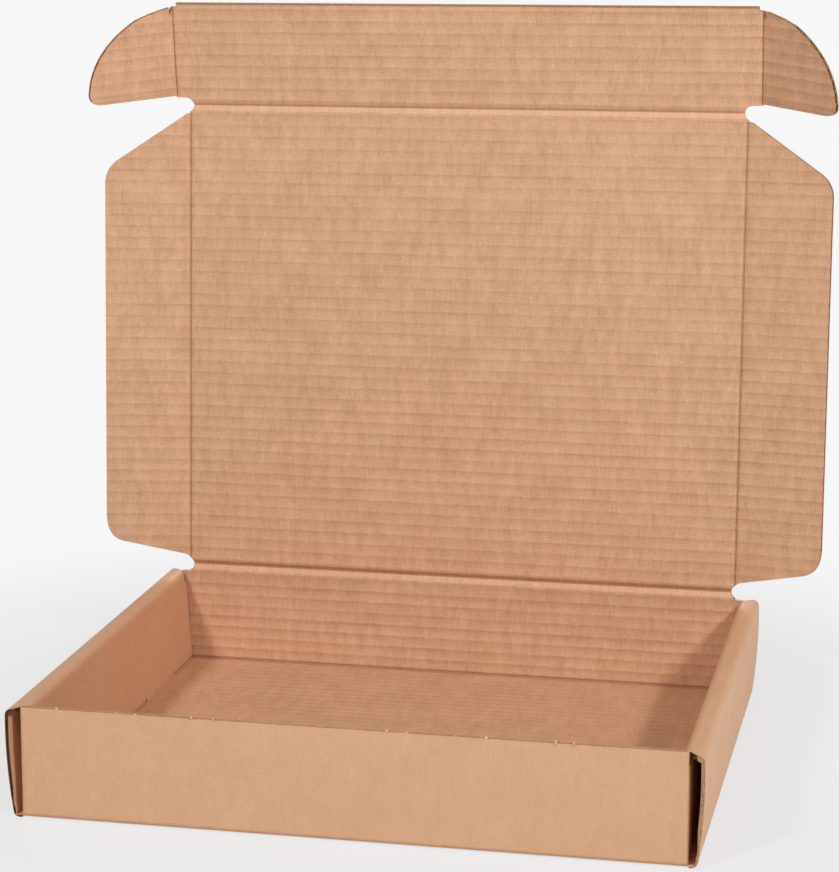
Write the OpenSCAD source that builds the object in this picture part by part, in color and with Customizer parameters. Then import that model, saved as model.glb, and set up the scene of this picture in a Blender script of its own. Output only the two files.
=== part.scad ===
// Corrugated roll-end mailer box, folded from one die-cut blank, lid open.
// Origin: centre of the underside. +X to the right, +Y to the back, +Z up.
// The flutes of the board run along X over the whole blank.

/* [Board] */
// thickness of the corrugated board
board_t = 2.8; // [2:0.1:4]
// distance from one flute to the next
flute_pitch = 6.25; // [4:0.05:9]
// depth of the washboard dips on the inside liner
dip_depth = 0.14; // [0.04:0.02:0.3]
// outer radius of the folds along the bottom
fold_r = 3; // [2:0.25:5]
// free gap between the round end of a crease and the flap that turns on it
crease_gap = 0.55; // [0.3:0.05:0.8]

/* [Tray] */
// depth over the front and back walls
tray_d = 255; // [180:1:360]
// half width between the inner side panels, at the top
inner_half_w = 155.2; // [105:0.1:215]
// distance that the foot of each inner side panel stands in from its top
inner_lean = 3; // [0:0.1:6]
// height of the front wall
front_h = 55; // [35:0.5:90]
// drop from the front wall's top edge to the top of the rolled side walls
side_drop = 1.1; // [0:0.1:4]
// radius of the front wall's top corners
front_corner_r = 2.5; // [1:0.5:6]
// radius of the upright folds at the ends of the front and back walls
end_fold_r = 2; // [1:0.25:3]
// play between a tucked corner flap and the inner side panel
corner_play = 0.2; // [0:0.05:1]
// width of the rolled top strip, fold to fold
strip_w = 10.3; // [8:0.1:14]
// fall of the rolled top strip towards the outside
strip_fall = 0.4; // [0:0.1:2]
// thickness of the rolled top strip, pressed by its two creases
strip_t = 2.3; // [1.6:0.1:3.5]
// distance that the foot of each outer side panel stands in from its top
outer_lean = 2.5; // [0:0.1:5]
// outward bulge of the outer side panels at mid height
side_bulge = 1; // [0:0.1:2]
// distance that the strip's ends are cut back at their inner side
strip_cut_back = 6.5; // [2:0.5:14]
// distance from the ends of the rolled walls to the outer face of the box
side_end_gap = 0.5; // [0:0.1:3]
// length of the corner flaps tucked inside the rolled walls
corner_flap_l = 52; // [30:1:90]
// length of the tabs that lock the inner side panels into the base
tab_l = 48; // [20:1:80]
// distance from the middle of the box to the middle of each locking tab
tab_y = 66; // [40:1:90]

/* [Lid] */
// rise of the hinge crease above the rolled side walls
hinge_rise = 3.6; // [2:0.1:6]
// distance from the lid's side creases to the inner side panels
lid_inset = 2.7; // [1.5:0.1:5]
// free gap between the closed front flap and the front wall
closed_gap = 0.5; // [0.3:0.1:2]
// backward tilt of the open lid
lid_tilt = 4.7; // [0:0.1:20]
// radius of the round notches at the ends of the creases
notch_r = 4.2; // [2.5:0.1:7]
// distance that the round notches reach in past the side creases
notch_in = 1.9; // [0:0.1:4]

/* [Front flap] */
// height of the closed front flap's edge above the table
flap_foot_gap = 1.5; // [0.5:0.1:6]
// forward fold of the front flap at rest
flap_fold = 11; // [0:0.5:40]
// free gap on each side of an ear in its slot
slot_gap = 0.4; // [0.3:0.05:1]
// reach of the ears from their creases
ear_reach = 51; // [30:0.5:80]
// forward fold of the left ear at rest
left_ear_fold = 40; // [0:1:90]
// forward fold of the right ear at rest
right_ear_fold = 38; // [0:1:90]

/* [Side flaps] */
// width of the lid's side flaps from their creases
side_flap_w = 47.2; // [30:0.1:70]
// forward fold of both side flaps at rest
side_flap_fold = 13; // [0:0.5:90]

/* [Hidden] */
$fn = 48;
half_t = board_t / 2;
knuckle_r = half_t - dip_depth - 0.01;
child_start = knuckle_r + crease_gap;
wall_y = tray_d / 2;
pivot_y = wall_y - half_t;
inner_foot_half_w = inner_half_w - inner_lean;
front_half_w = inner_half_w + board_t + corner_play;
side_half_w = inner_half_w + strip_w;
side_foot_half_w = side_half_w - outer_lean;
side_h = front_h - side_drop;
side_top_z = side_h - strip_fall - fold_r;
under_z = side_h - strip_fall - strip_t;
corner_flap_h = under_z - board_t - 2 * slot_gap;
hinge_z = side_h + hinge_rise;
lid_half_w = inner_half_w - lid_inset;
lid_l = tray_d + closed_gap;
notch_x = lid_half_w + notch_r - notch_in;
root_s = notch_r + slot_gap;
flap_h = hinge_z - flap_foot_gap;
flap_half_w = front_half_w + half_t + slot_gap;
slot_out_x = flap_half_w + half_t + slot_gap * 0.7;
ear_low = hinge_z - under_z + slot_gap * 0.75;
bow_steps = 10;

// depth of the washboard at a distance s across the flutes
function dip(s) = dip_depth * (0.5 - 0.5 * cos(360 * s / flute_pitch));

// distances from a to b, four to a flute
function steps(a, b) = let(n = ceil((b - a) * 4 / flute_pitch)) [for (i = [0:n]) a + (b - a) * i / n];

// points of a smooth corner from p to q, drawn towards the corner c
function bend(p, c, q, n) = [for (i = [0:n]) let(t = i / n) p * (1 - t) * (1 - t) + c * 2 * t * (1 - t) + q * t * t];

// points on an arc round c from angle a to angle b
function arc(c, r, a, b, n) = [for (i = [0:n]) let(t = a + (b - a) * i / n) c + r * [cos(t), sin(t)]];

// outer face of the outer side panel at height z
function side_x(z) = let(t = (z - fold_r) / (side_top_z - fold_r))
    side_foot_half_w + (side_half_w - side_foot_half_w) * t + side_bulge * 4 * t * (1 - t);

// inner face of the outer side panel at height z, thinner where the base fold presses it
function slot_x(z) = max(side_x(z) - board_t, slot_out_x);

// extrudes a drawing in the YZ plane along X, from -half to +half
module along_x(half) {
    translate([-half, 0, 0])
        rotate([90, 0, 90])
            linear_extrude(2 * half)
                children();
}

// extrudes a drawing in the XZ plane along Y, from -half to +half
module along_y(half) {
    translate([0, half, 0])
        rotate([90, 0, 0])
            linear_extrude(2 * half)
                children();
}

// extrudes a drawing in the XZ plane through the thickness of a flap
module through_board() {
    translate([0, 2 * board_t, 0])
        rotate([90, 0, 0])
            linear_extrude(4 * board_t)
                children();
}

// section across the flutes of a flat panel from distance a to b, washboard face towards -Y
module board_section(a, b) {
    polygon(concat([for (s = steps(a, b)) [-half_t + dip(s), s]], [[half_t, b], [half_t, a]]));
}

// round board end that a flap turns on, along X
module cross_knuckle(half, s) {
    translate([0, 0, s])
        along_x(half)
            circle(r = knuckle_r);
}

// section of the tray along its middle: front wall, floor and back wall
module tray_section() {
    inner_y = wall_y - board_t;
    front_pts = [for (s = steps(0, front_h - board_t)) [-inner_y - dip(s), front_h - s]];
    floor_pts = [for (s = steps(0, 2 * inner_y)) [-inner_y + s, board_t - dip(s) * 0.6]];
    back_pts = [for (s = steps(0, hinge_z - board_t)) [inner_y + dip(s), board_t + s]];
    outer_pts = concat(
        [[wall_y, hinge_z]],
        arc([wall_y - fold_r, fold_r], fold_r, 0, -90, 8),
        arc([-wall_y + fold_r, fold_r], fold_r, -90, -180, 8),
        [[-wall_y, front_h]]
    );
    inner_pts = concat(
        [for (i = [0:len(front_pts) - 2]) front_pts[i]],
        [[-inner_y, board_t]],
        [for (i = [1:len(floor_pts) - 2]) floor_pts[i]],
        [[inner_y, board_t]],
        [for (i = [1:len(back_pts) - 1]) back_pts[i]]
    );
    polygon(concat(inner_pts, outer_pts));
}

// section of one rolled side wall with the edge of the base, on the +X side
module rolled_section() {
    top_out = [side_half_w - fold_r, side_top_z];
    roll_in = [inner_half_w + 1.8, side_h - 1.8];
    difference() {
        polygon(concat(
            [[inner_foot_half_w - 0.5, 0]],
            arc([side_foot_half_w - fold_r, fold_r], fold_r, -90, 0, 8),
            [for (i = [1:bow_steps - 1]) let(z = fold_r + (side_top_z - fold_r) * i / bow_steps) [side_x(z), z]],
            arc(top_out, fold_r, 0, 84, 10),
            arc(roll_in, 1.8, 84, 184, 8),
            [[inner_foot_half_w, board_t], [inner_foot_half_w - 0.5, board_t]]
        ));
        cavity_section();
    }
}

// section of the hollow inside one rolled side wall
module cavity_section() {
    polygon(concat(
        [[inner_foot_half_w + board_t, board_t]],
        [[slot_out_x, board_t]],
        [for (i = [0:bow_steps - 1]) let(z = fold_r + (side_top_z - fold_r) * i / bow_steps) [slot_x(z), z]],
        bend([slot_x(side_top_z - 1), side_top_z - 1], [side_half_w - board_t, under_z], [slot_out_x - 0.1, under_z], 4),
        [[inner_half_w + board_t + 0.6, under_z + strip_fall * 0.5], [inner_half_w + board_t, under_z - 0.6]]
    ));
}

// one rolled side wall on the +X side, with its strip cut back at both ends
module rolled_wall() {
    end_y = wall_y - side_end_gap;
    difference() {
        along_y(end_y)
            rolled_section();
        for (m = [0, 1])
            mirror([0, m, 0])
                translate([0, 0, side_h - 7])
                    linear_extrude(10)
                        polygon([
                            [inner_half_w - 4, -end_y + strip_cut_back],
                            [inner_half_w, -end_y + strip_cut_back],
                            [side_half_w - fold_r - 0.5, -end_y],
                            [side_half_w - fold_r - 0.5, -end_y - 1],
                            [inner_half_w - 4, -end_y - 1]
                        ]);
    }
}

// corner flap folded from the end of the front wall, tucked inside the rolled wall
module corner_flap(y_side) {
    inner_y = wall_y - board_t;
    mirror([0, y_side, 0])
        translate([front_half_w - board_t, -inner_y - 0.5, board_t + 0.4])
            cube([board_t, corner_flap_l, corner_flap_h - 0.4]);
}

// slot in the underside where a locking tab of the inner side panel shows
module tab_slot() {
    translate([inner_foot_half_w - 0.2, -tab_l / 2, -1])
        cube([board_t + 0.4, tab_l, 1.5]);
}

// cuts the walls' outer upright edges to a round fold, on the +X side
module end_fold_cut(y_side) {
    mirror([0, y_side, 0])
        translate([front_half_w - end_fold_r, -wall_y + end_fold_r, -1])
            difference() {
                translate([0, -end_fold_r - 1, 0])
                    cube([end_fold_r + 1, end_fold_r + 1, hinge_z + 5]);
                translate([0, 0, -1])
                    cylinder(h = hinge_z + 7, r = end_fold_r);
            }
}

// cuts the front wall's top corner round, on the +X side
module front_corner_cut() {
    translate([front_half_w - front_corner_r, -wall_y - 1, front_h - front_corner_r])
        difference() {
            cube([front_corner_r + 1, board_t + 1.5, front_corner_r + 1]);
            rotate([-90, 0, 0])
                translate([0, 0, -1])
                    cylinder(h = board_t + 4, r = front_corner_r);
        }
}

// round notch at the end of the hinge crease and the lowered wall top beside it, on the +X side
module hinge_notch_cut() {
    translate([notch_x, pivot_y - 3, hinge_z])
        rotate([-90, 0, 0])
            cylinder(h = 6, r = notch_r);
    translate([notch_x, pivot_y - 3, hinge_z - notch_r])
        cube([20, 6, 2 * notch_r]);
}

module tray() {
    color("burlywood")
        union() {
            difference() {
                union() {
                    along_x(front_half_w)
                        tray_section();
                    translate([0, pivot_y, 0])
                        cross_knuckle(lid_half_w, hinge_z);
                }
                for (m = [0, 1])
                    mirror([m, 0, 0]) {
                        end_fold_cut(0);
                        end_fold_cut(1);
                        front_corner_cut();
                        hinge_notch_cut();
                        for (y_side = [-1, 1])
                            translate([0, y_side * tab_y, 0])
                                tab_slot();
                    }
            }
            for (m = [0, 1])
                mirror([m, 0, 0]) {
                    difference() {
                        rolled_wall();
                        for (y_side = [-1, 1])
                            translate([0, y_side * tab_y, 0])
                                tab_slot();
                    }
                    corner_flap(0);
                    corner_flap(1);
                }
        }
}

// places a part drawn from the hinge crease upwards on the open lid
module on_lid() {
    translate([0, pivot_y, hinge_z])
        rotate([-lid_tilt, 0, 0])
            children();
}

// places a part drawn from the front flap's crease upwards on the front flap
module on_flap() {
    on_lid()
        translate([0, 0, lid_l])
            rotate([flap_fold, 0, 0])
                children();
}

module lid() {
    color("tan")
        on_lid()
            difference() {
                union() {
                    along_x(lid_half_w)
                        board_section(child_start, lid_l);
                    cross_knuckle(lid_half_w, lid_l);
                    for (side = [-1, 1])
                        translate([side * lid_half_w, 0, child_start])
                            cylinder(h = lid_l - child_start, r = knuckle_r);
                }
                for (side = [-1, 1])
                    for (s = [0, lid_l])
                        translate([side * notch_x, 3, s])
                            rotate([90, 0, 0])
                                cylinder(h = 6, r = notch_r);
            }
}

module front_flap() {
    color("tan")
        on_flap()
            difference() {
                union() {
                    along_x(flap_half_w)
                        board_section(child_start, flap_h);
                    for (side = [-1, 1])
                        translate([side * flap_half_w, 0, root_s])
                            cylinder(h = flap_h - root_s - 1.2, r = knuckle_r);
                }
                for (side = [-1, 1]) {
                    translate([side * notch_x, 3, 0])
                        rotate([90, 0, 0])
                            cylinder(h = 6, r = notch_r);
                    translate([side * (notch_x + 10), 0, 0])
                        cube([20, 6, 2 * notch_r], center = true);
                }
            }
}

// outline of an ear, distances from its crease and from the front flap's crease
module ear_outline() {
    h = flap_h - ear_low;
    polygon(concat(
        [[child_start, flap_h - 0.045 * h], [ear_reach * 0.26, flap_h - 0.095 * h]],
        bend([ear_reach * 0.43, flap_h - 0.15 * h], [ear_reach * 0.9, ear_low + 0.6 * h], [ear_reach * 0.985, ear_low + 0.2 * h], 14),
        bend([ear_reach, ear_low + 0.11 * h], [ear_reach, ear_low], [ear_reach - 0.13 * h, ear_low], 6),
        [[child_start, ear_low]]
    ));
}

module ear(fold) {
    color("tan")
        translate([flap_half_w, 0, 0])
            rotate([0, 0, -fold])
                intersection() {
                    along_x(ear_reach + 2)
                        board_section(0.3, flap_h);
                    through_board()
                        ear_outline();
                }
}

module right_ear() {
    on_flap()
        ear(right_ear_fold);
}

module left_ear() {
    on_flap()
        mirror([1, 0, 0])
            ear(left_ear_fold);
}

// outline of a side flap, distances from its crease and from the hinge crease
module side_flap_outline() {
    w = side_flap_w;
    polygon(concat(
        [[child_start, lid_l - root_s]],
        bend([w * 0.83, lid_l - w * 0.63], [w * 0.99, lid_l - w * 0.73], [w, lid_l - w * 0.9], 8),
        bend([w, w * 0.57], [w * 0.99, w * 0.31], [w * 0.81, w * 0.265], 8),
        [[child_start, root_s + slot_gap]]
    ));
}

module side_flap() {
    color("peru")
        translate([lid_half_w, 0, 0])
            rotate([0, 0, -side_flap_fold])
                intersection() {
                    along_x(side_flap_w + 2)
                        board_section(0.3, lid_l);
                    through_board()
                        side_flap_outline();
                }
}

module right_side_flap() {
    on_lid()
        side_flap();
}

module left_side_flap() {
    on_lid()
        mirror([1, 0, 0])
            side_flap();
}

tray();
lid();
front_flap();
left_ear();
right_ear();
left_side_flap();
right_side_flap();
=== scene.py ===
import math
import bpy
from mathutils import Matrix, Vector


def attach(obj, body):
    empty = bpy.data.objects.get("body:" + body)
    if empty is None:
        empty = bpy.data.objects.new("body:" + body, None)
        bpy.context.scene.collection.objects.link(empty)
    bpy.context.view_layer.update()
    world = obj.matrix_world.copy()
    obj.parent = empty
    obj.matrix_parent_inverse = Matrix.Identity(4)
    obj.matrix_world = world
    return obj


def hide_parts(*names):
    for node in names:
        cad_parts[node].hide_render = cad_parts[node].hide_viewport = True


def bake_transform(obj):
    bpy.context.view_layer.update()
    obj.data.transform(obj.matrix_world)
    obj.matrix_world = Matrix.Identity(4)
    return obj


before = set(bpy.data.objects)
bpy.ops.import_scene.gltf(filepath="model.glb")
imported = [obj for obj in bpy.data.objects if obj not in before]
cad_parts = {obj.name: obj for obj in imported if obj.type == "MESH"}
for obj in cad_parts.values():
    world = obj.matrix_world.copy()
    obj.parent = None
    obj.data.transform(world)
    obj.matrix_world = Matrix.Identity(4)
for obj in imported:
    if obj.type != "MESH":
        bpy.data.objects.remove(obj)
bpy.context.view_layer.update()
mm = 0.001

# the board, and where its folds lie
board = {
    "thick": 2.8 * mm,
    "pitch": 6.1925 * mm,  # one flute to the next, forty of them on the lid
    "sag": 0.42 * mm,  # how far the inside liner sinks between two glue lines
    "sagSpread": 0.3,  # how unlike each other the sinks are
    "liner": 0.38 * mm,
    "mouthDeep": 5 * mm,  # how far the flutes are hollow from a cut edge
    "mouthLess": 0.28 * mm,  # how much lower they are behind the sunk liner
}
box = {
    "wallY": 127.5 * mm,  # outer faces of the front and back walls
    "frontHalf": 158.2 * mm,
    "frontHigh": 55 * mm,
    "hingeZ": 57.5 * mm,
}
lid = {"half": 152.5 * mm, "long": 255.5 * mm, "tilt": 4.7, "notchR": 4.2 * mm, "notchX": 154.8 * mm}
flap = {"half": 160 * mm, "high": 56 * mm, "fold": 11, "topSunk": 0.9 * mm}
ear = {"reach": 51 * mm, "low": 5.2 * mm, "leftFold": 40, "rightFold": 38}
sideFlap = {"wide": 47.2 * mm, "fold": 13, "nearEnd": 5.2 * mm, "farEnd": 4.9 * mm}
halfThick = board["thick"] / 2
pivotY = box["wallY"] - halfThick
nearCrease = 3.4 * mm  # pressed zone of a crease along the flutes, on the flap that turns
farCrease = 4.4 * mm  # and on the panel that it turns on
sideZone = 2.4 * mm  # pressed zone on each side of a crease across the flutes
insideSlot, outsideSlot, edgeSlot, hollowSlot, bruisedShadeSlot, stretchedHighlightSlot = range(6)  # the papers on every piece


def clearSelection():
    if bpy.context.mode != "OBJECT":
        bpy.ops.object.mode_set(mode="OBJECT")
    bpy.ops.object.select_all(action="DESELECT")


def takeUp(piece):
    clearSelection()
    piece.select_set(True)
    bpy.context.view_layer.objects.active = piece


def leaveEdit():
    bpy.ops.object.mode_set(mode="OBJECT")


def addBlock(name, low, high):
    clearSelection()
    low, high = Vector(low), Vector(high)
    bpy.ops.mesh.primitive_cube_add(size=1, location=(low + high) / 2, scale=high - low)
    piece = bpy.context.object
    piece.name = name
    bpy.ops.object.transform_apply(location=True, rotation=True, scale=True)
    return piece


def addPin(name, centre):  # a round tool along Y, for the notches
    clearSelection()
    bpy.ops.mesh.primitive_cylinder_add(vertices=40, radius=lid["notchR"], depth=8 * mm, location=centre,
                                        rotation=(math.pi / 2, 0, 0))
    piece = bpy.context.object
    piece.name = name
    bpy.ops.object.transform_apply(location=True, rotation=True, scale=True)
    return piece


def pick(piece, kind, test):
    takeUp(piece)
    bpy.ops.object.mode_set(mode="EDIT")
    bpy.ops.mesh.select_mode(type=kind)
    bpy.ops.mesh.select_all(action="DESELECT")
    bpy.ops.object.mode_set(mode="OBJECT")
    mesh = piece.data
    if kind == "VERT":
        for point in mesh.vertices:
            point.select = test(point.co)
    elif kind == "EDGE":
        for edge in mesh.edges:
            edge.select = test(mesh.vertices[edge.vertices[0]].co, mesh.vertices[edge.vertices[1]].co)
    else:
        for face in mesh.polygons:
            face.select = test(face.center, face.normal)
    bpy.ops.object.mode_set(mode="EDIT")


def shift(piece, test, move):
    pick(piece, "VERT", test)
    bpy.ops.transform.translate(value=move)
    leaveEdit()


def sliceAt(piece, planes, trim=False):
    pick(piece, "FACE", lambda c, n: True)
    for point, normal in planes:
        bpy.ops.mesh.select_all(action="SELECT")
        bpy.ops.mesh.bisect(plane_co=point, plane_no=normal, clear_outer=trim, threshold=1e-7)
    leaveEdit()


def combine(piece, tool, how="DIFFERENCE"):
    takeUp(piece)
    change = piece.modifiers.new("cut", "BOOLEAN")
    change.operation = how
    change.solver = "EXACT"
    change.object = tool
    bpy.ops.object.modifier_apply(modifier=change.name)
    bpy.data.objects.remove(tool, do_unlink=True)


def joinAll(pieces):
    clearSelection()
    for piece in pieces:
        piece.select_set(True)
    bpy.context.view_layer.objects.active = pieces[0]
    if len(pieces) > 1:
        bpy.ops.object.join()
    return pieces[0]


def outward(piece):
    pick(piece, "FACE", lambda c, n: True)
    bpy.ops.mesh.normals_make_consistent(inside=False)
    leaveEdit()


def setDown(piece, place):
    takeUp(piece)
    piece.matrix_world = place
    bpy.ops.object.transform_apply(location=True, rotation=True, scale=True)
    if place.determinant() < 0:
        outward(piece)


def bend(p, c, q, steps):
    p, c, q = Vector(p), Vector(c), Vector(q)
    return [p * (1 - t) ** 2 + c * 2 * t * (1 - t) + q * t * t for t in [i / steps for i in range(steps + 1)]]


def arc(centre, radius, start, end, steps):
    turns = [math.radians(start + (end - start) * i / steps) for i in range(steps + 1)]
    return [Vector((centre[0] + radius * math.cos(t), centre[1] + radius * math.sin(t))) for t in turns]


def drawOutline(name, points, lift):  # points drawn one after another, then closed and filled
    places = [lift(*point) for point in points]
    clearSelection()
    bpy.ops.mesh.primitive_plane_add(size=1 * mm, location=places[0])
    piece = bpy.context.object
    piece.name = name
    bpy.ops.object.transform_apply(location=True, rotation=True, scale=True)
    bpy.ops.object.mode_set(mode="EDIT")
    bpy.ops.mesh.select_mode(type="VERT")
    bpy.ops.mesh.merge(type="CENTER")
    for here, there in zip(places, places[1:]):
        bpy.ops.mesh.extrude_vertices_move(TRANSFORM_OT_translate={"value": there - here})
    leaveEdit()
    for point in piece.data.vertices:
        point.select = min((places[0] - point.co).length, (places[-1] - point.co).length) < 1e-7
    bpy.ops.object.mode_set(mode="EDIT")
    bpy.ops.mesh.edge_face_add()
    bpy.ops.mesh.select_all(action="SELECT")
    bpy.ops.mesh.edge_face_add()
    leaveEdit()
    return piece


def pullOut(piece, move):  # the drawn face becomes a solid
    pick(piece, "FACE", lambda c, n: True)
    bpy.ops.mesh.extrude_region_move(TRANSFORM_OT_translate={"value": move})
    leaveEdit()
    outward(piece)


# mm from a glue line: share of the liner's sink, which is sharp at the glue line and round between
sagShape = {0: 0, 0.4: 0.17, 1.1: 0.55, 2.0: 0.86, 3.096: 1, 4.193: 0.86, 5.093: 0.55, 5.793: 0.17}


def sagLevels(low, high, ridge):
    levels = {}
    pitch = board["pitch"]
    for k in range(math.floor((low - ridge) / pitch) - 1, math.ceil((high - ridge) / pitch) + 1):
        uneven = 43758.5453 * math.sin(12.9898 * (k + 3))
        own = board["sag"] * (1 + board["sagSpread"] * (uneven - math.floor(uneven) - 0.5) * 2)
        for off, share in sagShape.items():
            at = ridge + k * pitch + off * mm
            if low + 0.15 * mm < at < high - 0.15 * mm:
                levels[at] = share * own
    return levels


def cutBoard(name, outline, ridge=nearCrease, press=None):
    # a sheet trimmed to its outline in the flat: x along the flutes, z across them, inside liner to -Y
    low = Vector((min(p[0] for p in outline), min(p[1] for p in outline)))
    high = Vector((max(p[0] for p in outline), max(p[1] for p in outline)))
    middle = (low + high) / 2
    clearSelection()
    bpy.ops.mesh.primitive_plane_add(size=1, location=(middle[0], -halfThick, middle[1]),
                                     rotation=(math.pi / 2, 0, 0), scale=(high[0] - low[0], high[1] - low[1], 1))
    piece = bpy.context.object
    piece.name = name
    bpy.ops.object.transform_apply(location=True, rotation=True, scale=True)
    trims = []
    for here, there in zip(outline, outline[1:] + outline[:1]):
        edge = Vector((there[0] - here[0], there[1] - here[1]))
        away = Vector((edge[1], 0, -edge[0]))
        if (middle[0] - here[0]) * away[0] + (middle[1] - here[1]) * away[2] > 0:
            away = -away
        trims.append(((here[0], 0, here[1]), away))
    sliceAt(piece, trims, trim=True)
    levels = sagLevels(low[1], high[1], ridge)
    sliceAt(piece, [((0, 0, at), (0, 0, 1)) for at in levels])
    sliceAt(piece, [((at, 0, 0), (1, 0, 0)) for at in press or {}])
    pick(piece, "FACE", lambda c, n: True)
    bpy.ops.mesh.extrude_region_move(TRANSFORM_OT_translate={"value": (0, board["thick"], 0)})
    leaveEdit()
    outward(piece)
    for at, depth in levels.items():
        if depth:
            shift(piece, lambda co: co.y < 0 and abs(co.z - at) < 1e-6, (0, depth, 0))
    for at, depth in (press or {}).items():
        if depth:
            shift(piece, lambda co: co.y < 0 and abs(co.x - at) < 1e-6, (0, depth, 0))
            shift(piece, lambda co: co.y > 0 and abs(co.x - at) < 1e-6, (0, -0.3 * depth, 0))
    return piece


def edgeX(outline, s):  # where an outline's outer side is, at a distance s across the flutes
    reach = None
    for here, there in zip(outline, outline[1:] + outline[:1]):
        if min(here[1], there[1]) <= s <= max(here[1], there[1]) and abs(there[1] - here[1]) > 1e-9:
            x = here[0] + (there[0] - here[0]) * (s - here[1]) / (there[1] - here[1])
            reach = x if reach is None else max(reach, x)
    return reach


def openFlutes(piece, outline, ridge=nearCrease):
    # hollows on both sides of the fluted paper, open at the cut edge
    pitch = board["pitch"]
    deep = halfThick - board["liner"]
    low, high = min(p[1] for p in outline), max(p[1] for p in outline)
    bars = []
    for half in range(math.floor(2 * (low - ridge) / pitch), math.ceil(2 * (high - ridge) / pitch) + 1):
        middle = ridge + half * pitch / 2
        side = 1 if half % 2 == 0 else -1  # behind a glue line the hollow is at the outside liner
        ends = [edgeX(outline, middle + k * pitch / 8) for k in (-3, 0, 3)]
        if None in ends or min(ends) - board["mouthDeep"] < 2 * sideZone:
            continue
        wide = deep if side > 0 else deep - board["mouthLess"]
        bar = addBlock("hollow", (min(ends) - board["mouthDeep"], -0.7 * deep, middle - 0.38 * pitch),
                       (max(ends) + 2 * mm, wide, middle + 0.38 * pitch))
        pick(bar, "FACE", lambda c, n: n.y < -0.9)
        bpy.ops.transform.resize(value=(1, 1, 0.26), center_override=(0, 0, middle))
        leaveEdit()
        if side < 0:
            pick(bar, "FACE", lambda c, n: True)
            bpy.ops.transform.resize(value=(1, -1, 1), center_override=(0, 0, 0))
            bpy.ops.mesh.normals_make_consistent(inside=False)
            leaveEdit()
        bars.append(bar)
    combine(piece, joinAll(bars))


def hollowEdge(piece, test, deep, paintedShadeRim=False):  # the liners stand proud of the fluted paper at a cut edge
    pick(piece, "FACE", test)
    # with the rim flag the liners' rims take the dark fluted paper's colour too: painted shade over the whole cut end
    if paintedShadeRim:
        leaveEdit()
        for face in piece.data.polygons:
            if face.select:
                face.material_index = hollowSlot
        bpy.ops.object.mode_set(mode="EDIT")
    bpy.ops.mesh.inset(thickness=0.34 * mm, depth=-deep, use_even_offset=True)
    leaveEdit()
    for face in piece.data.polygons:
        if face.select:
            face.material_index = hollowSlot


def creaseAlong(name):
    # pressed zone of a crease along the flutes: a valley with a long lower side and a steep upper one
    shape = [(-4.4, 0), (-3.9, -0.05), (-3.4, 0.02), (-2.9, 0.26), (-2.2, 0.6), (-1.5, 0.93), (-0.9, 1.2),
             (-0.4, 1.4), (0, 1.5), (0.35, 1.4), (0.75, 1.12), (1.2, 0.8), (1.7, 0.5), (2.3, 0.24), (2.9, 0.07),
             (3.4, 0)]
    half = lid["half"] + 0.3 * mm
    piece = addBlock(name, (-half, -halfThick, -farCrease), (half, halfThick, nearCrease))
    sliceAt(piece, [((0, 0, s * mm), (0, 0, 1)) for s, n in shape[1:-1]])
    for s, n in shape[1:-1]:
        shift(piece, lambda co: co.y < 0 and abs(co.z - s * mm) < 1e-6, (0, n * mm, 0))
        shift(piece, lambda co: co.y > 0 and abs(co.z - s * mm) < 1e-6, (0, -0.12 * max(0, n) * mm, 0))
    return piece


def fold(piece, test, degrees, axis, centre):
    pick(piece, "VERT", test)
    bpy.ops.transform.rotate(value=math.radians(-degrees), orient_axis=axis, center_override=centre)
    leaveEdit()


lidPlace = Matrix.Translation((0, pivotY, box["hingeZ"])) @ Matrix.Rotation(math.radians(-lid["tilt"]), 4, "X")
flapPlace = lidPlace @ Matrix.Translation((0, 0, lid["long"])) @ Matrix.Rotation(math.radians(flap["fold"]), 4, "X")


def flapAt(base, side, halfWide, degrees):  # a flap drawn flat on the +X side, folded forward on its own side
    mirrored = Matrix.Scale(-1, 4, (1, 0, 0)) if side < 0 else Matrix.Identity(4)
    return base @ mirrored @ Matrix.Translation((halfWide, 0, 0)) @ Matrix.Rotation(math.radians(-degrees), 4, "Z")


def linear(hexColour):
    parts = [int(hexColour[i:i + 2], 16) / 255 for i in (0, 2, 4)]
    return tuple(p / 12.92 if p <= 0.04045 else ((p + 0.055) / 1.055) ** 2.4 for p in parts) + (1,)


def addNode(tree, kind, settings=None, **sockets):
    node = tree.nodes.new(kind)
    for name, value in (settings or {}).items():
        setattr(node, name, value)
    for name, value in sockets.items():
        socket = node.inputs[int(name[1:])] if name[0] == "i" and name[1:].isdigit() else node.inputs[name]
        if isinstance(value, bpy.types.NodeSocket):
            tree.links.new(value, socket)
        else:
            socket.default_value = value
    return node


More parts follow.
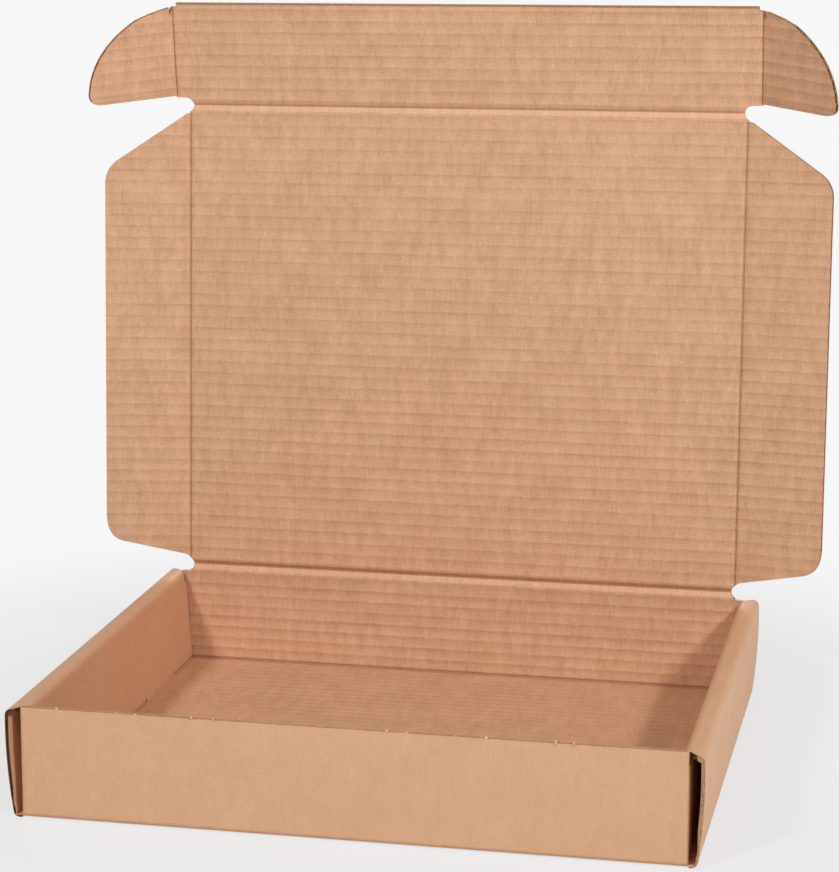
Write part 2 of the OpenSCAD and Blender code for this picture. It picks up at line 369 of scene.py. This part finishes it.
def kraftPaper(name, tones, streak, glueLineAndShade, rough, gloss):
    # Kraft liner, pressed and unbleached: warm brown, with fine fibres lying along and across the web in a
    # faintly cloudy ground. On the inside liner a darker line just below each glue line of the flutes is partly
    # the glue and partly painted shade below the ridge. Real fibres are too fine to show in the picture, so they
    # are drawn about 0.7 mm wide.
    paper = bpy.data.materials.new(name)
    paper.use_nodes = True
    tree = paper.node_tree
    shader = tree.nodes["Principled BSDF"]
    shader.inputs["Roughness"].default_value = rough
    shader.inputs["Specular IOR Level"].default_value = gloss
    blank = addNode(tree, "ShaderNodeUVMap", {"uv_map": "blank"}).outputs["UV"]
    inMm = addNode(tree, "ShaderNodeVectorMath", {"operation": "SCALE"}, Vector=blank, Scale=1000).outputs[0]

    def spots(alongMm, acrossMm, turn=0, detail=2.0, offset=0.0):
        turned = addNode(tree, "ShaderNodeMapping", Vector=inMm, Location=(offset, offset, 0),
                         Rotation=(0, 0, math.radians(turn)), Scale=(1 / alongMm, 1 / acrossMm, 1)).outputs[0]
        return addNode(tree, "ShaderNodeTexNoise", {"noise_dimensions": "2D"}, Vector=turned, Scale=1.0,
                       Detail=detail, Roughness=0.55).outputs["Fac"]

    def maths(operation, **values):
        return addNode(tree, "ShaderNodeMath", {"operation": operation}, **values).outputs[0]

    mixed = 0.0
    # the web's streaks lie across the flutes: broad soft ones, faint clouds, and short fibres both ways
    weights = {  # mm along the flutes, mm across, turn, detail, offset: weight
        (5.2, 19, 0, 2.5, 3): streak,
        (26, 22, 0, 2.0, 7): 0.17,
        (5.5, 0.7, 4, 2.0, 11): 0.2,
        (0.9, 6.0, -4, 2.0, 29): 0.22,
        (1.2, 1.2, 37, 1.0, 47): 0.2,
    }
    for spot, weight in weights.items():
        mixed = maths("MULTIPLY_ADD", i0=spots(*spot), i1=weight, i2=mixed)
    level = sum(weights.values()) / 2
    ramp = addNode(tree, "ShaderNodeValToRGB", Fac=mixed)
    dark, middle, light = [linear(tone) for tone in tones]
    ramp.color_ramp.elements[0].position = level - 0.17
    ramp.color_ramp.elements[0].color = dark
    ramp.color_ramp.elements[1].position = level + 0.17
    ramp.color_ramp.elements[1].color = light
    ramp.color_ramp.elements.new(level).color = middle
    colour = ramp.outputs["Color"]
    # painted shade: a darker line just below each glue line, where shade falls below the ridge; partly the glue
    # itself
    if glueLineAndShade:
        across = addNode(tree, "ShaderNodeSeparateXYZ", Vector=inMm).outputs["Y"]
        pitch, first = board["pitch"] / mm, nearCrease / mm
        part = maths("FRACT", i0=maths("MULTIPLY_ADD", i0=across, i1=1 / pitch, i2=0.5 - first / pitch))
        away = maths("ABSOLUTE", i0=maths("SUBTRACT", i0=part, i1=0.44))  # just below the glue line
        line = addNode(tree, "ShaderNodeMapRange", {"interpolation_type": "SMOOTHSTEP"}, Value=away)
        line.inputs["From Min"].default_value = 0.17
        line.inputs["From Max"].default_value = 0.0
        uneven = addNode(tree, "ShaderNodeMapRange", Value=spots(45, 6, 0, 3.0, 71))
        uneven.inputs["From Min"].default_value = 0.35
        uneven.inputs["From Max"].default_value = 0.65
        share = maths("MULTIPLY", i0=maths("MULTIPLY", i0=line.outputs[0], i1=uneven.outputs[0]), i1=glueLineAndShade)
        mix = addNode(tree, "ShaderNodeMix", {"data_type": "RGBA"}, Factor=share)
        tree.links.new(colour, mix.inputs[6])
        mix.inputs[7].default_value = linear("9C6A48")
        colour = mix.outputs[2]
    tree.links.new(colour, shader.inputs["Base Color"])
    bump = addNode(tree, "ShaderNodeBump", Strength=0.3, Distance=0.08 * mm, Height=mixed)
    tree.links.new(bump.outputs["Normal"], shader.inputs["Normal"])
    return paper


def cutEdge(name, dark, light):
    # Cut edge of the board, sheared by a steel rule: short torn fibres, uneven and without any shine.
    paper = bpy.data.materials.new(name)
    paper.use_nodes = True
    tree = paper.node_tree
    shader = tree.nodes["Principled BSDF"]
    shader.inputs["Roughness"].default_value = 0.95
    shader.inputs["Specular IOR Level"].default_value = 0.15
    place = addNode(tree, "ShaderNodeTexCoord").outputs["Object"]
    torn = addNode(tree, "ShaderNodeTexNoise", Vector=place, Scale=900, Detail=3.0, Roughness=0.65).outputs["Fac"]
    ramp = addNode(tree, "ShaderNodeValToRGB", Fac=torn)
    ramp.color_ramp.elements[0].position = 0.36
    ramp.color_ramp.elements[0].color = linear(dark)
    ramp.color_ramp.elements[1].position = 0.66
    ramp.color_ramp.elements[1].color = linear(light)
    tree.links.new(ramp.outputs["Color"], shader.inputs["Base Color"])
    bump = addNode(tree, "ShaderNodeBump", Strength=0.4, Distance=0.12 * mm, Height=torn)
    tree.links.new(bump.outputs["Normal"], shader.inputs["Normal"])
    return paper


# The inside liner is the rougher one. The outside liner was pressed smoother and has a faint sheen. Fibres that
# the creasing rule crushed look darker, and that darker tone also paints the shade in creases and grooves. The
# paler liner over a fold is partly stretched liner and partly a painted highlight on the band below the crease.
insideLiner = kraftPaper("kraft liner inside", ("C69874", "D6A784", "E3B694"), 0.28, 0.16, 0.82, 0.3)
outsideLiner = kraftPaper("kraft liner outside", ("D6A681", "DEAE89", "E5B691"), 0.18, 0.0, 0.6, 0.35)
bruisedShadeLiner = kraftPaper("kraft liner bruised by the creasing rule", ("AC7C5C", "BA8B6A", "C79978"),
                          0.2, 0.0, 0.85, 0.25)
stretchedHighlightLiner = kraftPaper("kraft liner stretched over the crease", ("D2A27E", "E1B28E", "EEC2A0"),
                            0.2, 0.0, 0.7, 0.4)
# The fluted paper behind an open edge lies in shade and looks dark. Torn fibre is paler than a clean cut.
rawEdge = cutEdge("cut board edge", "A07454", "C79B78")
fluteHollow = cutEdge("fluted paper in the open edges", "563A2A", "84603F")
tornFibre = cutEdge("torn fibre of the top edge", "CFA684", "E8C8AA")


def dress(piece, isInside, isOutside, smoothAngle=40, edge=rawEdge, bruiseAndPaintedLight=lambda c: insideSlot):
    # blank coordinates from the flat sheet, a liner on each face and raw board at the cut edges
    mesh = piece.data
    if "blank" not in mesh.uv_layers:
        mesh.uv_layers.new(name="blank")
    for extra in [other.name for other in mesh.uv_layers if other.name != "blank"]:
        mesh.uv_layers.remove(mesh.uv_layers[extra])
    layer = mesh.uv_layers["blank"]
    hollows = {face.index for face in mesh.polygons if face.material_index == hollowSlot}
    mesh.materials.clear()
    for paper in (insideLiner, outsideLiner, edge, fluteHollow, bruisedShadeLiner, stretchedHighlightLiner):
        mesh.materials.append(paper)
    for face in mesh.polygons:
        if face.index in hollows:
            face.material_index = hollowSlot
        elif isInside(face.center, face.normal):
            face.material_index = bruiseAndPaintedLight(face.center)
        else:
            face.material_index = outsideSlot if isOutside(face.center, face.normal) else edgeSlot
        lead = max(range(3), key=lambda k: abs(face.normal[k]))
        for corner in face.loop_indices:
            x, y, z = mesh.vertices[mesh.loops[corner].vertex_index].co
            layer.data[corner].uv = ((z, y) if lead == 0 else (x, z) if lead == 1 else (x, y))
    takeUp(piece)
    bpy.ops.object.shade_smooth_by_angle(angle=math.radians(smoothAngle))


def dressFlat(piece, smoothAngle=40):
    dress(piece, lambda c, n: n.y < -0.5 and c.y < -0.6 * mm, lambda c, n: n.y > 0.5 and c.y > 1.1 * mm, smoothAngle)


def dressCrease(piece, bruiseAndPaintedLight):
    dress(piece, lambda c, n: n.y < -0.3, lambda c, n: n.y > 0.3, 60, bruiseAndPaintedLight=bruiseAndPaintedLight)


def finish(piece, node, body):
    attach(piece, body)
    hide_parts(node)


print("board and papers ready")

# the tray: one strip folded into front wall, floor and back wall
tray = {
    "foldR": 3 * mm,
    "floorSag": 0.22,  # the floor was pressed flatter than the rest
    "cornerR": 2.7 * mm,  # the upright cut edges
    "topCornerR": 2.2 * mm,
    "topSunk": 0.5 * mm,  # fluted paper below the liners in the front wall's top edge
    "slotFrom": 152 * mm,  # where the locking tabs show in the underside
    "slotTo": 155.2 * mm,
    "slotDeep": 0.5 * mm,
    "tabFrom": 42 * mm,
    "tabTo": 90 * mm,
}
innerY = box["wallY"] - board["thick"]
floorTop = board["thick"]
# the groove that the creasing rule left between floor and wall, in mm from the inner corner
groove = ((-2.2, 0), (-1.4, -0.3), (-0.5, -1.0), (0.5, -0.6), (0.7, 0.4), (0.3, 1.1))
scored = [Vector((innerY + y * mm, floorTop + z * mm)) for y, z in groove]


def sagged(low, high, ridge, share=1.0):
    levels = sagLevels(low, high, ridge)
    return [(at, levels[at] * share) for at in sorted(levels)]


backTop = box["hingeZ"] - farCrease
section = [Vector((-innerY, box["frontHigh"]))]
section += [Vector((-innerY - dip, z)) for z, dip in reversed(sagged(floorTop + 1.3 * mm, box["frontHigh"], backTop))]
section += [Vector((-p[0], p[1])) for p in reversed(scored)]
floorEnd = innerY - 2.4 * mm
section += [Vector((y, floorTop - dip)) for y, dip in sagged(-floorEnd, floorEnd, 0, tray["floorSag"])]
section += scored
section += [Vector((innerY + dip, z)) for z, dip in sagged(floorTop + 1.3 * mm, backTop, backTop)]
section += [Vector((innerY, backTop)), Vector((box["wallY"], backTop))]
section += arc((box["wallY"] - tray["foldR"], tray["foldR"]), tray["foldR"], 0, -90, 8)
section += arc((-box["wallY"] + tray["foldR"], tray["foldR"]), tray["foldR"], -90, -180, 8)
section += [Vector((-box["wallY"], box["frontHigh"]))]
trayBoard = drawOutline("trayBoard", section, lambda y, z: Vector((-box["frontHalf"], y, z)))
pullOut(trayBoard, (2 * box["frontHalf"], 0, 0))


def atTrayEnd(a, b):
    return abs(a.x - b.x) < 1e-6 and abs(abs(a.x) - box["frontHalf"]) < 1e-6


nearTop = box["frontHigh"] - 0.1 * mm
pick(trayBoard, "EDGE", lambda a, b: atTrayEnd(a, b) and abs(a.y - b.y) < 1e-6
     and abs(abs(a.y) - box["wallY"]) < 1e-6 and abs(a.z - b.z) > 40 * mm)
bpy.ops.mesh.bevel(offset=tray["cornerR"], segments=6, affect="EDGES")
leaveEdit()
pick(trayBoard, "EDGE", lambda a, b: atTrayEnd(a, b) and a.y < 0 and min(a.z, b.z) > nearTop)
bpy.ops.mesh.bevel(offset=tray["topCornerR"], segments=4, affect="EDGES")
leaveEdit()
# the cuts after this clear the hollow mark, so that the top edge is dressed as bruised liner, darkened with painted
# shade
hollowEdge(trayBoard, lambda c, n: n.z > 0.9 and c.z > nearTop, tray["topSunk"])
for side in (-1, 1):
    for way in (-1, 1):
        xs = sorted((side * tray["slotFrom"], side * tray["slotTo"]))
        ys = sorted((way * tray["tabFrom"], way * tray["tabTo"]))
        combine(trayBoard, addBlock("tabSlot", (xs[0], ys[0], -1 * mm), (xs[1], ys[1], tray["slotDeep"])))

# torn bits where the blank was held in its sheet, in mm
nicks = {
    "at": (-139.4, -110.1, -100.7, -73.3, -62.9, 19.8, 29.2, 51.9, 66.1, 98.2, 106.2),
    "wide": 2.6,
    "deep": 1.5,
    "high": 2.3,
}
for k, at in enumerate(nicks["at"]):
    clearSelection()
    grow = 0.8 + 0.35 * math.sin(5.1 * k)
    bpy.ops.mesh.primitive_ico_sphere_add(
        subdivisions=2, radius=0.5 * mm, location=(at * mm, -box["wallY"] + 0.5 * mm, box["frontHigh"] + 0.1 * mm),
        scale=(nicks["wide"] * grow, nicks["deep"], nicks["high"] * grow),
        rotation=(0.3 * math.sin(k), 0.4 * math.cos(3 * k), 0.5 * k))
    bpy.ops.object.transform_apply(location=True, rotation=True, scale=True)
    trayBoard = joinAll([trayBoard, bpy.context.object])
print("tray board folded", len(trayBoard.data.polygons))

# the rolled side walls: outer panel, top strip and inner panel in one sheet
rolled = {
    "innerTop": 155.2 * mm,
    "innerFoot": 152.2 * mm,
    "outerTop": 165.5 * mm,
    "outerFoot": 163 * mm,
    "high": 53.9 * mm,
    "fall": 0.4 * mm,
    "strip": 2.3 * mm,
    "bulge": 1 * mm,
    "innerEnd": 123.8 * mm,  # the inner panel stands between the front and back walls
    "outerEnd": 127 * mm,
    "cutBack": 6.5 * mm,
    "innerRound": 3.6 * mm,  # the soft fold from the strip to the inner panel
    "foldR": 3 * mm,
    "footGap": 0.9 * mm,
    "slotX": 161.68 * mm,  # how far in the outer panel's inner face may come
    "pinch": 1.1 * mm,  # how much the outer panel's cut ends are crushed
    "endSunk": 1.4 * mm,  # fluted paper below the liners in the open ends
    "nick": 0.8 * mm,  # half of the cut at each end of a locking tab
    "thinFrom": 117 * mm,  # from here to the ends the fold at the foot is crushed thin
    "thinIn": 157 * mm,
    "thinOut": 161.9 * mm,
    "thinTo": 0.9 * mm,
}
foldR = rolled["foldR"]
outTopZ = rolled["high"] - rolled["fall"] - foldR
underZ = rolled["high"] - rolled["fall"] - rolled["strip"]


def outerX(z):
    t = (z - foldR) / (outTopZ - foldR)
    return rolled["outerFoot"] + (rolled["outerTop"] - rolled["outerFoot"]) * t + rolled["bulge"] * 4 * t * (1 - t)


def rolledWall(name, side):
    t = board["thick"]
    slotX, nick = rolled["slotX"], rolled["nick"]
    levels = [foldR + (outTopZ - foldR) * i / 12 for i in range(13)]
    points = [Vector((box["frontHalf"], 0))]
    points += arc((rolled["outerFoot"] - foldR, foldR), foldR, -90, 0, 8)
    points += [Vector((outerX(z), z)) for z in levels[1:-1]]
    points += arc((rolled["outerTop"] - foldR, outTopZ), foldR, 0, 84, 10)
    r = rolled["innerRound"]
    points += arc((rolled["innerTop"] + r, rolled["high"] - r), r, 84, 184, 12)
    foot, footX, topX = floorTop + rolled["footGap"], rolled["innerFoot"], rolled["innerTop"]
    points += [Vector((footX + 0.3 * mm, foot + 1.5 * mm)), Vector((footX + 0.5 * mm, foot))]
    points += [Vector((footX + t, foot))]
    points += [Vector((topX + t, underZ - 0.6 * mm)), Vector((topX + t + 0.6 * mm, underZ + 0.2 * mm))]
    turn = bend((max(outerX(outTopZ - mm) - t, slotX), outTopZ - mm), (rolled["outerTop"] - t, underZ),
                (slotX - 0.1 * mm, underZ), 4)
    points += list(reversed(turn))
    points += [Vector((max(outerX(z) - t, slotX), z)) for z in reversed(levels[1:-1])]
    points += [Vector((slotX, floorTop)), Vector((box["frontHalf"], floorTop))]
    piece = drawOutline(name, points, lambda x, z: Vector((x, -rolled["outerEnd"], z)))
    pullOut(piece, (0, 2 * rolled["outerEnd"], 0))
    for way in (-1, 1):
        sliceAt(piece, [((0, way * (rolled["outerEnd"] - back), 0), (0, 1, 0)) for back in (2 * mm, 6 * mm, 14 * mm)])
        for back, share in ((0, 1.0), (2 * mm, 0.8), (6 * mm, 0.35)):
            shift(piece, lambda co: abs(co.y - way * (rolled["outerEnd"] - back)) < 1e-6 and foldR < co.z < outTopZ
                  and slotX - 0.2 * mm < co.x < outerX(co.z) - 1.5 * mm, (share * rolled["pinch"], 0, 0))
    for way in (-1, 1):
        ends = sorted((way * rolled["innerEnd"], way * 140 * mm))
        combine(piece, addBlock("endCut", (140 * mm, ends[0], -1 * mm),
                                (box["frontHalf"] + 0.5 * mm, ends[1], underZ - 0.8 * mm)))
        end, farX = rolled["outerEnd"], rolled["outerTop"] - foldR - 0.5 * mm
        slant = [(topX - 4 * mm, -end + rolled["cutBack"]), (topX, -end + rolled["cutBack"]),
                 (farX, -end), (farX, -end - mm), (topX - 4 * mm, -end - mm)]
        tool = drawOutline("stripCut", [(x, way * -y) for x, y in slant],
                           lambda x, y: Vector((x, y, rolled["high"] - 7 * mm)))
        pullOut(tool, (0, 0, 10 * mm))
        combine(piece, tool)
        ends = sorted((way * rolled["thinFrom"], way * 130 * mm))
        combine(piece, addBlock("foldCut", (rolled["thinIn"], ends[0], rolled["thinTo"]),
                                (rolled["thinOut"], ends[1], 3.6 * mm)))
    tabs = []
    for way in (-1, 1):  # the locking tabs go down into the base
        ys = sorted((way * tray["tabFrom"], way * tray["tabTo"]))
        tabs.append(addBlock("tab", (footX + 0.35 * mm, ys[0] + nick, floorTop - 0.2 * mm),
                             (footX + t, ys[1] - nick, foot + 0.3 * mm)))
        for end in ys:
            combine(piece, addBlock("tabNick", (footX - mm, end - nick, 0),
                                    (footX + 2 * mm, end + nick, foot + 1.2 * mm)))
    piece = joinAll([piece] + tabs)
    # the left wall's ends and both strips' ends show the open flutes, the right panel's ends are crushed flat;
    # the open ends take the dark fluted paper's colour over their liners' rims too, as painted shade
    hollowEdge(piece, lambda c, n: abs(n.y) > 0.35 and abs(c.y) > rolled["thinFrom"]
               and (side < 0 or c.z > 50 * mm), rolled["endSunk"], paintedShadeRim=True)
    if side < 0:
        pick(piece, "FACE", lambda c, n: True)
        bpy.ops.transform.resize(value=(-1, 1, 1), center_override=(0, 0, 0))
        bpy.ops.mesh.normals_make_consistent(inside=False)
        leaveEdit()
    return piece


# hidden in the rolled walls
tucked = {"long": 52 * mm, "low": 3.2 * mm, "high": 47.6 * mm, "round": 9 * mm}


def cornerFlap(name, side, way):
    xs = sorted((side * (box["frontHalf"] - board["thick"]), side * box["frontHalf"]))
    ys = sorted((way * (innerY + 0.3 * mm), way * (innerY - tucked["long"])))
    piece = addBlock(name, (xs[0], ys[0], tucked["low"]), (xs[1], ys[1], tucked["high"]))
    pick(piece, "EDGE", lambda a, b: abs(a.z - b.z) < 1e-6 and abs(a.y - b.y) < 1e-6 and abs(a.y) < 100 * mm)
    bpy.ops.mesh.bevel(offset=tucked["round"], segments=6, affect="EDGES")
    leaveEdit()
    return piece


sideWalls = [rolledWall("rightSideWall", 1), rolledWall("leftSideWall", -1)]
cornerFlaps = [cornerFlap(f"cornerFlap{i + 1}", side, way)
               for i, (side, way) in enumerate([(-1, -1), (1, -1), (1, 1), (-1, 1)])]
print("side walls rolled")


def trayRaw(c, n):
    inSlot = abs(c.z - tray["slotDeep"]) < 0.1 * mm and n.z < -0.9
    atEnd = abs(n.x) > 0.9 and abs(c.x) > box["frontHalf"] - 0.1 * mm
    onNick = c.z > box["frontHigh"] + 0.04 * mm or c.y < -box["wallY"] - 0.02 * mm
    return inSlot or atEnd or onNick


def topEdge(c):
    return c.y < 0 and c.z > box["frontHigh"] - 0.6 * mm


def trayOuter(c):
    return c.z < 1.9 * mm or abs(c.y) > box["wallY"] - 1.6 * mm


def inGroove(c):
    return abs(c.y) > innerY - 0.9 * mm and c.z < floorTop + 1.0 * mm


# the front wall's top edge and the groove along the floor's edges take the darker bruised liner: painted shade,
# partly crushed fibre
dress(trayBoard, lambda c, n: not trayRaw(c, n) and (topEdge(c) or not trayOuter(c)), lambda c, n: not trayRaw(c, n),
      40, tornFibre, lambda c: bruisedShadeSlot if topEdge(c) or inGroove(c) else insideSlot)
for piece in sideWalls:
    dress(piece, lambda c, n: False, lambda c, n: abs(n.y) < 0.5, 50)
for piece in cornerFlaps:
    dress(piece, lambda c, n: False, lambda c, n: abs(n.x) > 0.5)
for piece in [trayBoard] + sideWalls + cornerFlaps:
    finish(piece, "tray", "tray")


# lid, front flap, side flaps and ears
def sheet(half, low, high):
    return [(-half, low), (half, low), (half, high), (-half, high)]


lidBoard = cutBoard("lidBoard", sheet(lid["half"] - sideZone, nearCrease, lid["long"] - farCrease))
dressFlat(lidBoard)
setDown(lidBoard, lidPlace)
finish(lidBoard, "lid", "lid")

frontFlap = cutBoard("frontFlap", sheet(flap["half"] - sideZone, nearCrease, flap["high"]))
for side in (-1, 1):
    combine(frontFlap, addPin("notch", (side * lid["notchX"], 0, 0)))
    xs = sorted((side * lid["notchX"], side * 170 * mm))
    combine(frontFlap, addBlock("notch", (xs[0], -3 * mm, 0), (xs[1], 3 * mm, lid["notchR"])))
hollowEdge(frontFlap, lambda c, n: n.z > 0.9 and c.z > flap["high"] - 0.1 * mm, flap["topSunk"])
dressFlat(frontFlap)
setDown(frontFlap, flapPlace)
finish(frontFlap, "front_flap", "front_flap")

w, long = sideFlap["wide"], lid["long"]
sideLow, sideHigh = sideFlap["nearEnd"], long - sideFlap["farEnd"]
sideOutline = [Vector((sideZone, sideHigh))]
sideOutline += bend((w * 0.83, long - w * 0.63), (w * 0.99, long - w * 0.73), (w, long - w * 0.9), 8)
sideOutline += bend((w, w * 0.57), (w * 0.99, w * 0.31), (w * 0.81, w * 0.265), 8)
sideOutline += [Vector((sideZone, sideLow))]
reach, earLow, high = ear["reach"], ear["low"], flap["high"]
rise = high - earLow
earOutline = [Vector((sideZone, high - 0.048 * rise)), Vector((reach * 0.26, high - 0.095 * rise))]
earOutline += bend((reach * 0.43, high - 0.15 * rise), (reach * 0.9, earLow + 0.6 * rise),
                   (reach * 0.985, earLow + 0.2 * rise), 14)
earOutline += bend((reach, earLow + 0.11 * rise), (reach, earLow), (reach - 0.13 * rise, earLow), 6)
earOutline += [Vector((sideZone, earLow))]
# mm from the crease: mm pressed in
pressed = {-1.8: 0.05, -1.2: 0.16, -0.7: 0.34, -0.35: 0.58, 0: 0.78, 0.35: 0.58, 0.7: 0.34, 1.2: 0.16, 1.8: 0.05}
pressed = {at * mm: depth * mm for at, depth in pressed.items()}


def foldedFlap(name, side, outline, base, halfWide, degrees, body, creaseOutline):
    piece = cutBoard(name, [tuple(p) for p in outline])
    openFlutes(piece, [tuple(p) for p in outline])
    dressFlat(piece)
    setDown(piece, flapAt(base, side, halfWide, degrees))
    finish(piece, body, body)
    crease = cutBoard(name + "Crease", creaseOutline, press=pressed)
    for level in (0, lid["long"]):
        combine(crease, addPin("notch", (lid["notchX"] - halfWide, 0, level)))
    # the middle of each side crease takes the darker bruised liner: painted crease shade, partly crushed fibre
    dressCrease(crease, lambda c: bruisedShadeSlot if abs(c.x) < 0.6 * mm else insideSlot)
    fold(crease, lambda co: co.x > 1e-6, -degrees, "Z", (0, 0, 0))
    place = flapAt(base, side, halfWide, 0)
    setDown(crease, place)
    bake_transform(crease)


sideCrease = [(-sideZone, nearCrease), (-0.2 * mm, nearCrease), (sideZone, sideLow), (sideZone, sideHigh),
              (-0.2 * mm, long - farCrease), (-sideZone, long - farCrease)]
earCrease = [(-sideZone, 4.2 * mm), (-0.4 * mm, 4.2 * mm), (sideZone, earLow), (sideZone, high - 0.048 * rise),
             (0.5 * mm, high - 0.045 * rise), (-0.5 * mm, high), (-sideZone, high)]
for side, word in ((1, "right"), (-1, "left")):
    foldedFlap(f"{word}SideFlap", side, sideOutline, lidPlace, lid["half"], sideFlap["fold"],
               f"{word}_side_flap", sideCrease)
    foldedFlap(f"{word}Ear", side, earOutline, flapPlace, flap["half"], ear[word + "Fold"],
               f"{word}_ear", earCrease)
print("lid and flaps cut")

hingeCrease = creaseAlong("hingeCrease")
flapCrease = creaseAlong("frontFlapCrease")
creases = (
    (hingeCrease, -lid["tilt"], 2 * mm, Matrix.Translation((0, pivotY, box["hingeZ"])), "tray", "lid"),
    (flapCrease, flap["fold"], 0.6 * mm, lidPlace @ Matrix.Translation((0, 0, lid["long"])), "lid", "front_flap"),
)
for crease, turn, bruised, place, parentBody, body in creases:
    for side in (-1, 1):
        combine(crease, addPin("notch", (side * lid["notchX"], 0, 0)))
    # in the crease the darker bruised liner is painted shade, partly crushed fibre; the paler stretched band below it
    # is a painted highlight, partly stretched liner
    dressCrease(crease, lambda c: stretchedHighlightSlot if -3 * mm < c.z < -0.3 * mm
                else bruisedShadeSlot if 0 < c.z < bruised else insideSlot)
    fold(crease, lambda co: co.z > 0.2 * mm, turn, "X", (0, 0, 0))
    setDown(crease, place)
    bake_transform(crease)
print("creases pressed")

# pale floor, soft studio light, and the camera at the photograph's angle
studio = {"around": 0.07, "floor": "D6D6D4", "nearGlow": 0.74, "white": 0.93}
# The two softboxes stand where their shadows' edges meet those on the photograph's back wall.
lamps = {  # place, aim, size, power
    "leftSoftbox": ((-0.534, -1.179, 1.073), (0, 0, 0.12), 0.2, 11.1),
    "rightSoftbox": ((1.035, -0.909, 1.073), (0, 0, 0.12), 0.2, 13.2),
    "frontCard": ((0.0, -2.561, 0.571), (0, 0, 0.12), 0.5, 2.2),
    "sideCard": ((0.95, 0, 0.028), (0.16, 0, 0.028), 0.05, 1.35),  # lights the right rolled wall's outer face
    "backCard": ((-0.3, 2.2, 0.9), (0, 0, 0.15), 0.6, 13),  # for the views from behind
}


def seenStraight(tree):  # 1 on the rays that reach the camera directly, mirrored or through something
    path = addNode(tree, "ShaderNodeLightPath")
    either = addNode(tree, "ShaderNodeMath", {"operation": "ADD"}, i0=path.outputs["Is Camera Ray"],
                     i1=path.outputs["Is Glossy Ray"]).outputs[0]
    return addNode(tree, "ShaderNodeMath", {"operation": "ADD", "use_clamp": True}, i0=either,
                   i1=path.outputs["Is Transmission Ray"]).outputs[0]


clearSelection()
bpy.ops.mesh.primitive_grid_add(x_subdivisions=4, y_subdivisions=4, size=60, location=(0, 20, -0.0005))
floorSheet = bpy.context.object
floorSheet.name = "floorSheet"
bpy.ops.object.transform_apply(location=True, rotation=True, scale=True)
# Matt white studio paper. Away from the object a camera sees it evenly white; near it, it takes the shadow.
pale = bpy.data.materials.new("matt white studio paper")
pale.use_nodes = True
tree = pale.node_tree
paperShader = tree.nodes["Principled BSDF"]
paperShader.inputs["Base Color"].default_value = linear(studio["floor"])
paperShader.inputs["Roughness"].default_value = 0.9
paperShader.inputs["Specular IOR Level"].default_value = 0.1
glow = addNode(tree, "ShaderNodeEmission", Color=(1, 1, 1, 1), Strength=studio["white"])
place = addNode(tree, "ShaderNodeTexCoord").outputs["Object"]
far = addNode(tree, "ShaderNodeVectorMath", {"operation": "LENGTH"}, i0=place).outputs["Value"]
far = addNode(tree, "ShaderNodeMapRange", {"interpolation_type": "SMOOTHSTEP"}, Value=far)
far.inputs["From Min"].default_value = 0.2
far.inputs["From Max"].default_value = 0.5
far.inputs["To Min"].default_value = studio["nearGlow"]
share = addNode(tree, "ShaderNodeMath", {"operation": "MULTIPLY"}, i0=far.outputs[0],
                i1=seenStraight(tree)).outputs[0]
choice = addNode(tree, "ShaderNodeMixShader", i0=share, i1=paperShader.outputs[0], i2=glow.outputs[0])
tree.links.new(choice.outputs[0], tree.nodes["Material Output"].inputs["Surface"])
floorSheet.data.materials.append(pale)

world = bpy.data.worlds.new("white studio")
bpy.context.scene.world = world
world.use_nodes = True
tree = world.node_tree
tree.nodes.clear()
around = addNode(tree, "ShaderNodeBackground", Color=(1, 1, 1, 1), Strength=studio["around"])
seen = addNode(tree, "ShaderNodeBackground", Color=(1, 1, 1, 1), Strength=studio["white"])
choice = addNode(tree, "ShaderNodeMixShader", i0=seenStraight(tree), i1=around.outputs[0], i2=seen.outputs[0])
addNode(tree, "ShaderNodeOutputWorld", Surface=choice.outputs[0])


def addLamp(name, place, aim, size, power):
    clearSelection()
    bpy.ops.object.light_add(type="AREA", location=place)
    lamp = bpy.context.object
    lamp.name = name
    lamp.data.shape = "DISK"
    lamp.data.size = size
    lamp.data.energy = power
    lamp.rotation_euler = (Vector(aim) - Vector(place)).to_track_quat("-Z", "Y").to_euler()


for name, (place, aim, size, power) in lamps.items():
    addLamp(name, place, aim, size, power)

view = {  # fitted to the box's corners in the photograph
    "place": (284.55 * mm, -1238.91 * mm, 448.31 * mm),
    "yaw": 12.6008,
    "pitch": 12.5816,
    "roll": -0.3473,
    "lens": 108.57,
}
clearSelection()
bpy.ops.object.camera_add(location=view["place"])
camera = bpy.context.object
camera.name = "photoCamera"
aim = Matrix.Rotation(math.radians(view["yaw"]), 4, "Z") @ Matrix.Rotation(math.radians(90 - view["pitch"]), 4, "X")
aim = aim @ Matrix.Rotation(math.radians(view["roll"]), 4, "Z")
camera.rotation_euler = aim.to_euler()
camera.data.sensor_width = 36
camera.data.lens = view["lens"]
camera.data.clip_end = 200
bpy.context.scene.camera = camera
bpy.context.scene.view_settings.view_transform = "Standard"

print("scene ready")
